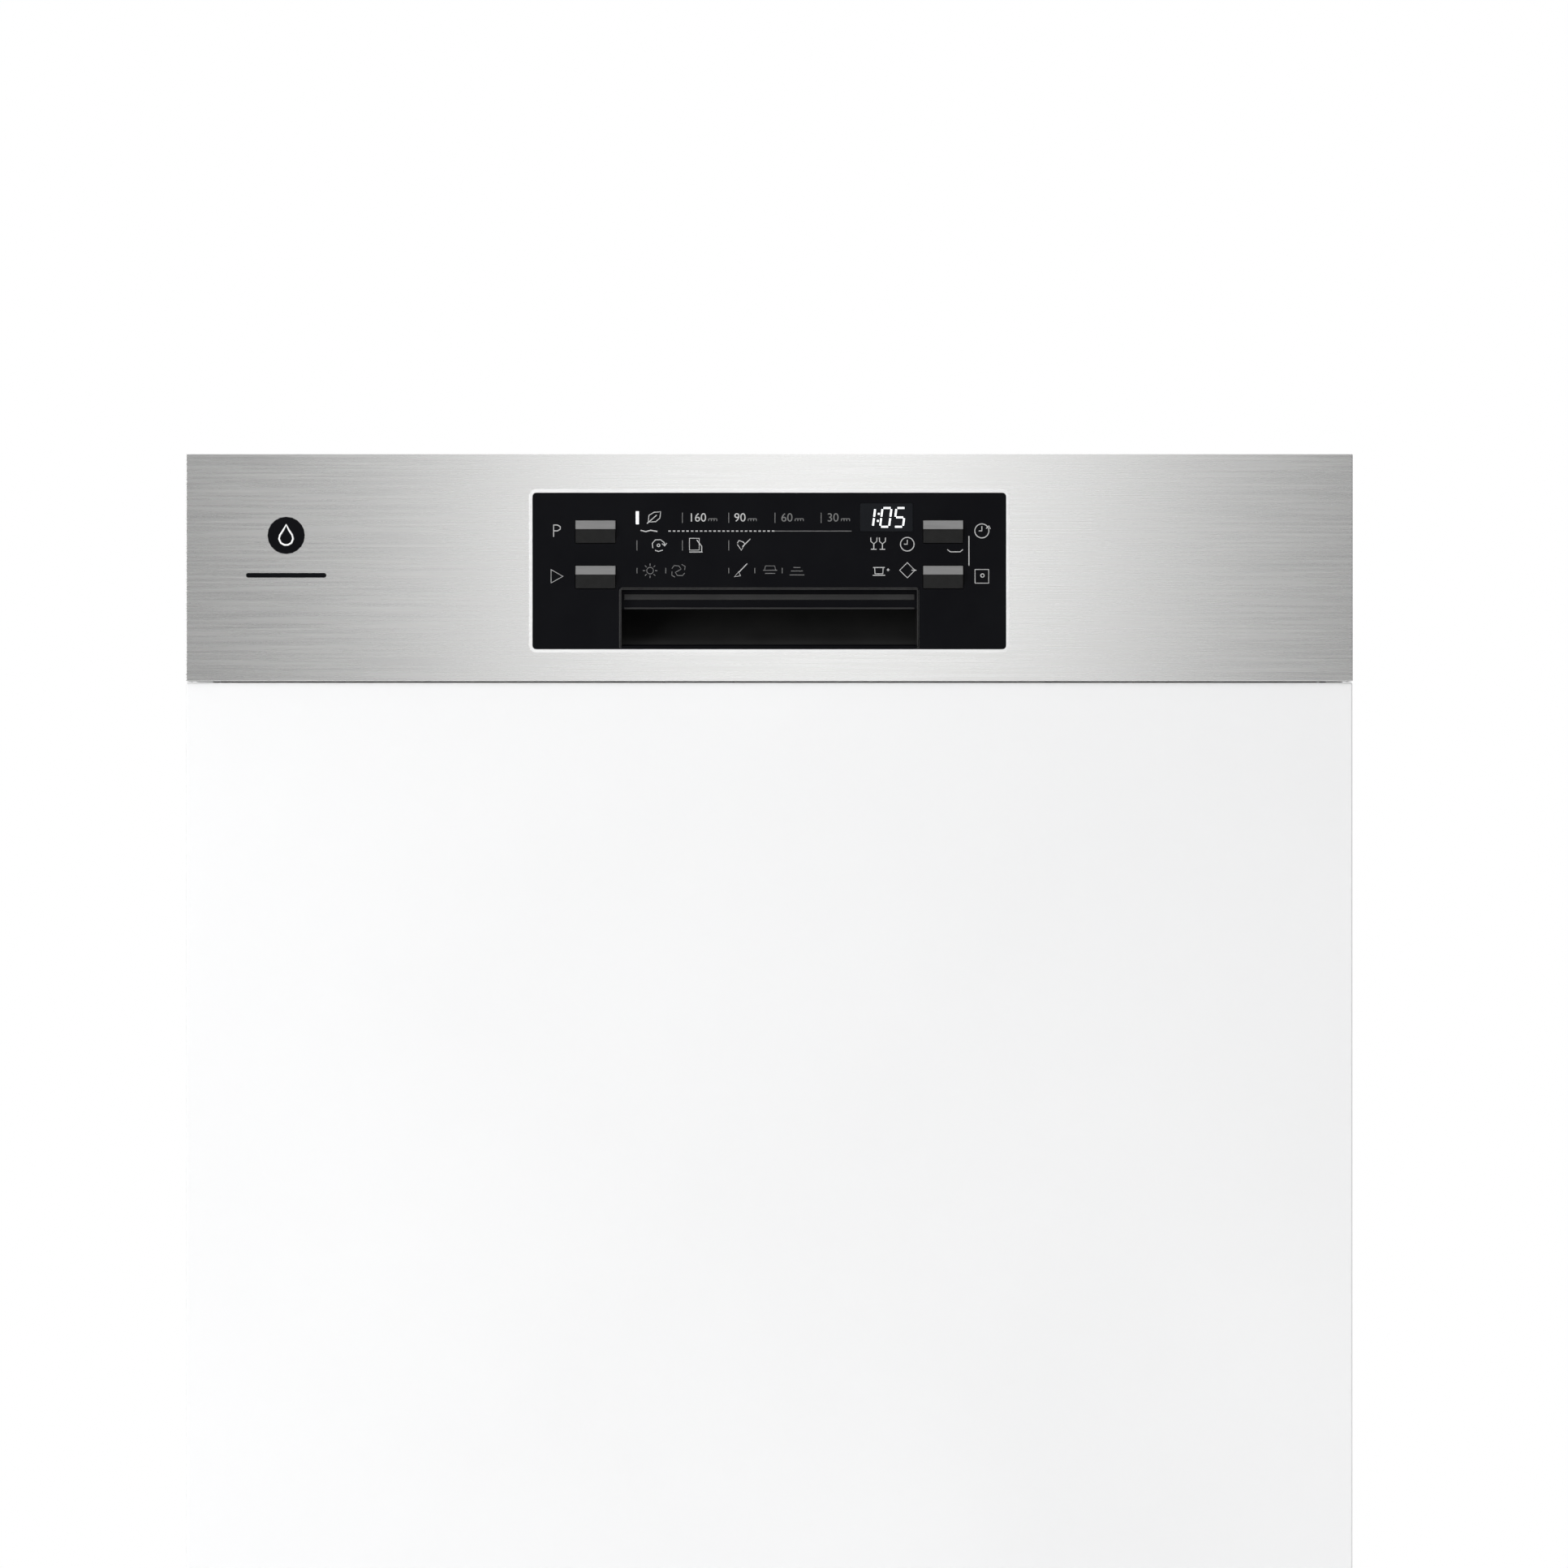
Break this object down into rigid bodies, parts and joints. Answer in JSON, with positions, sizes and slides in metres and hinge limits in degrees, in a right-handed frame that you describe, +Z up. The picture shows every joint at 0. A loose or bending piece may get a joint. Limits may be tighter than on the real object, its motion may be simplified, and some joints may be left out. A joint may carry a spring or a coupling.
{
  "type": "built in dishwasher",
  "caption": "Semi-integrated dishwasher with a brushed steel fascia, black control window with recessed handle, white furniture front, racks, spray arms and a drop-down door.",
  "frame": {"origin": "centre of the overall footprint, on the floor under the feet", "axes": "+Z up, front towards -Y, +X to the right seen from the front"},
  "size_m": [0.596, 0.577, 0.818],
  "materials": {
    "fascia_steel": "brushed stainless, horizontal grain",
    "tub_steel": "satin stainless",
    "zinc": "zinc plated sheet",
    "frame_paint": "satin paint",
    "kick_paint": "dark grey paint",
    "front_white": "smooth white lacquer on board",
    "black_satin": "satin black",
    "lens_black": "clear black lens",
    "button_grey": "dark grey, lighter upper facet",
    "grey_plastic": "moulded grey",
    "dark_plastic": "moulded dark grey",
    "white_plastic": "moulded white",
    "wheel_grey": "moulded light grey",
    "rack_coating": "grey nylon coat on wire",
    "seal_rubber": "soft matte",
    "bitumen": "matte mat",
    "board_green": "solder mask"
  },
  "bodies": {
    "cabinet": {"base_tray": "dark_plastic", "plinth_panel": "kick_paint", "chassis_rails": "zinc", "door_springs": "zinc", "tub_floor": "tub_steel", "tub_wrap": "tub_steel", "tub_rear_wall": "tub_steel", "front_frame": "frame_paint", "side_panels": "zinc", "sound_mats": "bitumen", "worktop_brackets": "zinc", "door_seal": "seal_rubber", "door_striker": "tub_steel", "sump": "grey_plastic", "filter_plate": "tub_steel", "spray_tower": "grey_plastic", "circulation_pump": "white_plastic", "drain_pump": "white_plastic", "softener": "white_plastic", "inlet_valve": "white_plastic", "feed_duct": "grey_plastic", "upper_rack_rails": "zinc"},
    "door": {"furniture_panel": "front_white", "door_outer_sheet": "zinc", "door_sound_mat": "bitumen", "door_liner": "tub_steel", "hinge_arms": "zinc", "fascia": "fascia_steel", "console_housing": "grey_plastic", "control_insert": "black_satin", "display_lens": "lens_black", "control_board": "board_green", "handle_cup": "black_satin", "door_latch": "dark_plastic", "detergent_dispenser": "grey_plastic"},
    "lower_rack": {"lower_rack": "rack_coating", "cutlery_basket": "grey_plastic"},
    "upper_rack": {"upper_rack": "rack_coating", "upper_feed_pipe": "grey_plastic"},
    "front_foot_left": {"front_foot_left": "dark_plastic"},
    "front_foot_right": {"front_foot_right": "dark_plastic"},
    "rear_foot": {"rear_foot": "dark_plastic"},
    "rear_foot_spindle": {"rear_foot_spindle": "zinc"},
    "filter_cartridge": {"filter_cartridge": "grey_plastic"},
    "salt_cap": {"salt_cap": "grey_plastic"},
    "lower_spray_arm": {"lower_spray_arm": "grey_plastic"},
    "ceiling_spray_arm": {"ceiling_spray_arm": "grey_plastic"},
    "upper_spray_arm": {"upper_spray_arm": "grey_plastic"},
    "cup_shelf": {"cup_shelf": "rack_coating"},
    "upper_wheels_front": {"upper_wheels_front": "wheel_grey"},
    "upper_wheels_rear": {"upper_wheels_rear": "wheel_grey"},
    "folding_tines": {"folding_tines": "rack_coating"},
    "lower_wheels_front": {"lower_wheels_front": "wheel_grey"},
    "lower_wheels_rear": {"lower_wheels_rear": "wheel_grey"},
    "program_button": {"program_button": "button_grey"},
    "start_button": {"start_button": "button_grey"},
    "delay_button": {"delay_button": "button_grey"},
    "option_button": {"option_button": "button_grey"},
    "dispenser_lid": {"dispenser_lid": "grey_plastic"},
    "rinse_aid_cap": {"rinse_aid_cap": "grey_plastic"}
  },
  "joints": [
    {"name": "door_hinge", "type": "hinge", "parent": "cabinet", "child": "door", "pos_m": [0, -0.247, 0.165], "axis": [1, 0, 0], "range_deg": [0, 90], "stiffness_Nm_per_rad": 26},
    {"name": "lower_rack_slide", "type": "slide", "parent": "cabinet", "child": "lower_rack", "axis": [0, -1, 0], "range_m": [0, 0.012]},
    {"name": "upper_rack_slide", "type": "slide", "parent": "cabinet", "child": "upper_rack", "axis": [0, -1, 0], "range_m": [0, 0.012]},
    {"name": "lower_wheels_front_roll", "type": "hinge", "parent": "lower_rack", "child": "lower_wheels_front", "pos_m": [0, -0.139, 0.2105], "axis": [1, 0, 0], "range_deg": [0, 40]},
    {"name": "lower_wheels_rear_roll", "type": "hinge", "parent": "lower_rack", "child": "lower_wheels_rear", "pos_m": [0, 0.1705, 0.2105], "axis": [1, 0, 0], "range_deg": [0, 40]},
    {"name": "upper_wheels_front_roll", "type": "hinge", "parent": "upper_rack", "child": "upper_wheels_front", "pos_m": [0, -0.129, 0.5612], "axis": [1, 0, 0], "range_deg": [0, 80]},
    {"name": "upper_wheels_rear_roll", "type": "hinge", "parent": "upper_rack", "child": "upper_wheels_rear", "pos_m": [0, 0.1405, 0.5612], "axis": [1, 0, 0], "range_deg": [0, 80]},
    {"name": "lower_arm_spin", "type": "hinge", "parent": "cabinet", "child": "lower_spray_arm", "pos_m": [0, 0.01375, 0.2272], "axis": [0, 0, 1], "continuous": true},
    {"name": "upper_arm_spin", "type": "hinge", "parent": "upper_rack", "child": "upper_spray_arm", "pos_m": [0, 0.01375, 0.4602], "axis": [0, 0, 1], "continuous": true},
    {"name": "ceiling_arm_spin", "type": "hinge", "parent": "cabinet", "child": "ceiling_spray_arm", "pos_m": [0, 0.01375, 0.764], "axis": [0, 0, 1], "continuous": true},
    {"name": "program_button_press", "type": "slide", "parent": "door", "child": "program_button", "axis": [0, 1, 0], "range_m": [0, 0.0012], "stiffness_N_per_m": 500},
    {"name": "start_button_press", "type": "slide", "parent": "door", "child": "start_button", "axis": [0, 1, 0], "range_m": [0, 0.0012], "stiffness_N_per_m": 500},
    {"name": "delay_button_press", "type": "slide", "parent": "door", "child": "delay_button", "axis": [0, 1, 0], "range_m": [0, 0.0012], "stiffness_N_per_m": 500},
    {"name": "option_button_press", "type": "slide", "parent": "door", "child": "option_button", "axis": [0, 1, 0], "range_m": [0, 0.0012], "stiffness_N_per_m": 500},
    {"name": "dispenser_lid_slide", "type": "slide", "parent": "door", "child": "dispenser_lid", "axis": [1, 0, 0], "range_m": [0, 0.062]},
    {"name": "rinse_aid_cap_turn", "type": "hinge", "parent": "door", "child": "rinse_aid_cap", "pos_m": [0.07, -0.221, 0.4912], "axis": [0, -1, 0], "range_deg": [0, 90]},
    {"name": "filter_cartridge_turn", "type": "hinge", "parent": "cabinet", "child": "filter_cartridge", "pos_m": [0.038, -0.02625, 0.17], "axis": [0, 0, 1], "range_deg": [0, 90]},
    {"name": "salt_cap_turn", "type": "hinge", "parent": "cabinet", "child": "salt_cap", "pos_m": [-0.186, -0.06025, 0.185], "axis": [0, 0, 1], "continuous": true},
    {"name": "cup_shelf_fold", "type": "hinge", "parent": "upper_rack", "child": "cup_shelf", "pos_m": [0.24, 0.01, 0.5792], "axis": [0, 1, 0], "range_deg": [0, 78]},
    {"name": "tines_fold", "type": "hinge", "parent": "lower_rack", "child": "folding_tines", "pos_m": [0.07, 0.01, 0.2662], "axis": [0, 1, 0], "range_deg": [0, 85]},
    {"name": "front_foot_left_screw", "type": "slide", "parent": "cabinet", "child": "front_foot_left", "axis": [0, 0, -1], "range_m": [0, 0.05]},
    {"name": "front_foot_right_screw", "type": "slide", "parent": "cabinet", "child": "front_foot_right", "axis": [0, 0, -1], "range_m": [0, 0.05]},
    {"name": "rear_foot_screw", "type": "slide", "parent": "cabinet", "child": "rear_foot", "axis": [0, 0, -1], "range_m": [0, 0.05]},
    {"name": "rear_foot_spindle_turn", "type": "hinge", "parent": "cabinet", "child": "rear_foot_spindle", "pos_m": [0, 0.02, 0.036], "axis": [0, -1, 0], "range_deg": [0, 7200]}
  ],
  "couplings": [
    {"joint": "lower_wheels_front_roll", "follows": "lower_rack_slide", "rad_per_m": 55.556},
    {"joint": "lower_wheels_rear_roll", "follows": "lower_rack_slide", "rad_per_m": 55.556},
    {"joint": "upper_wheels_front_roll", "follows": "upper_rack_slide", "rad_per_m": 111.11},
    {"joint": "upper_wheels_rear_roll", "follows": "upper_rack_slide", "rad_per_m": 111.11},
    {"joint": "rear_foot_spindle_turn", "follows": "rear_foot_screw", "rad_per_m": 2513.3}
  ]
}
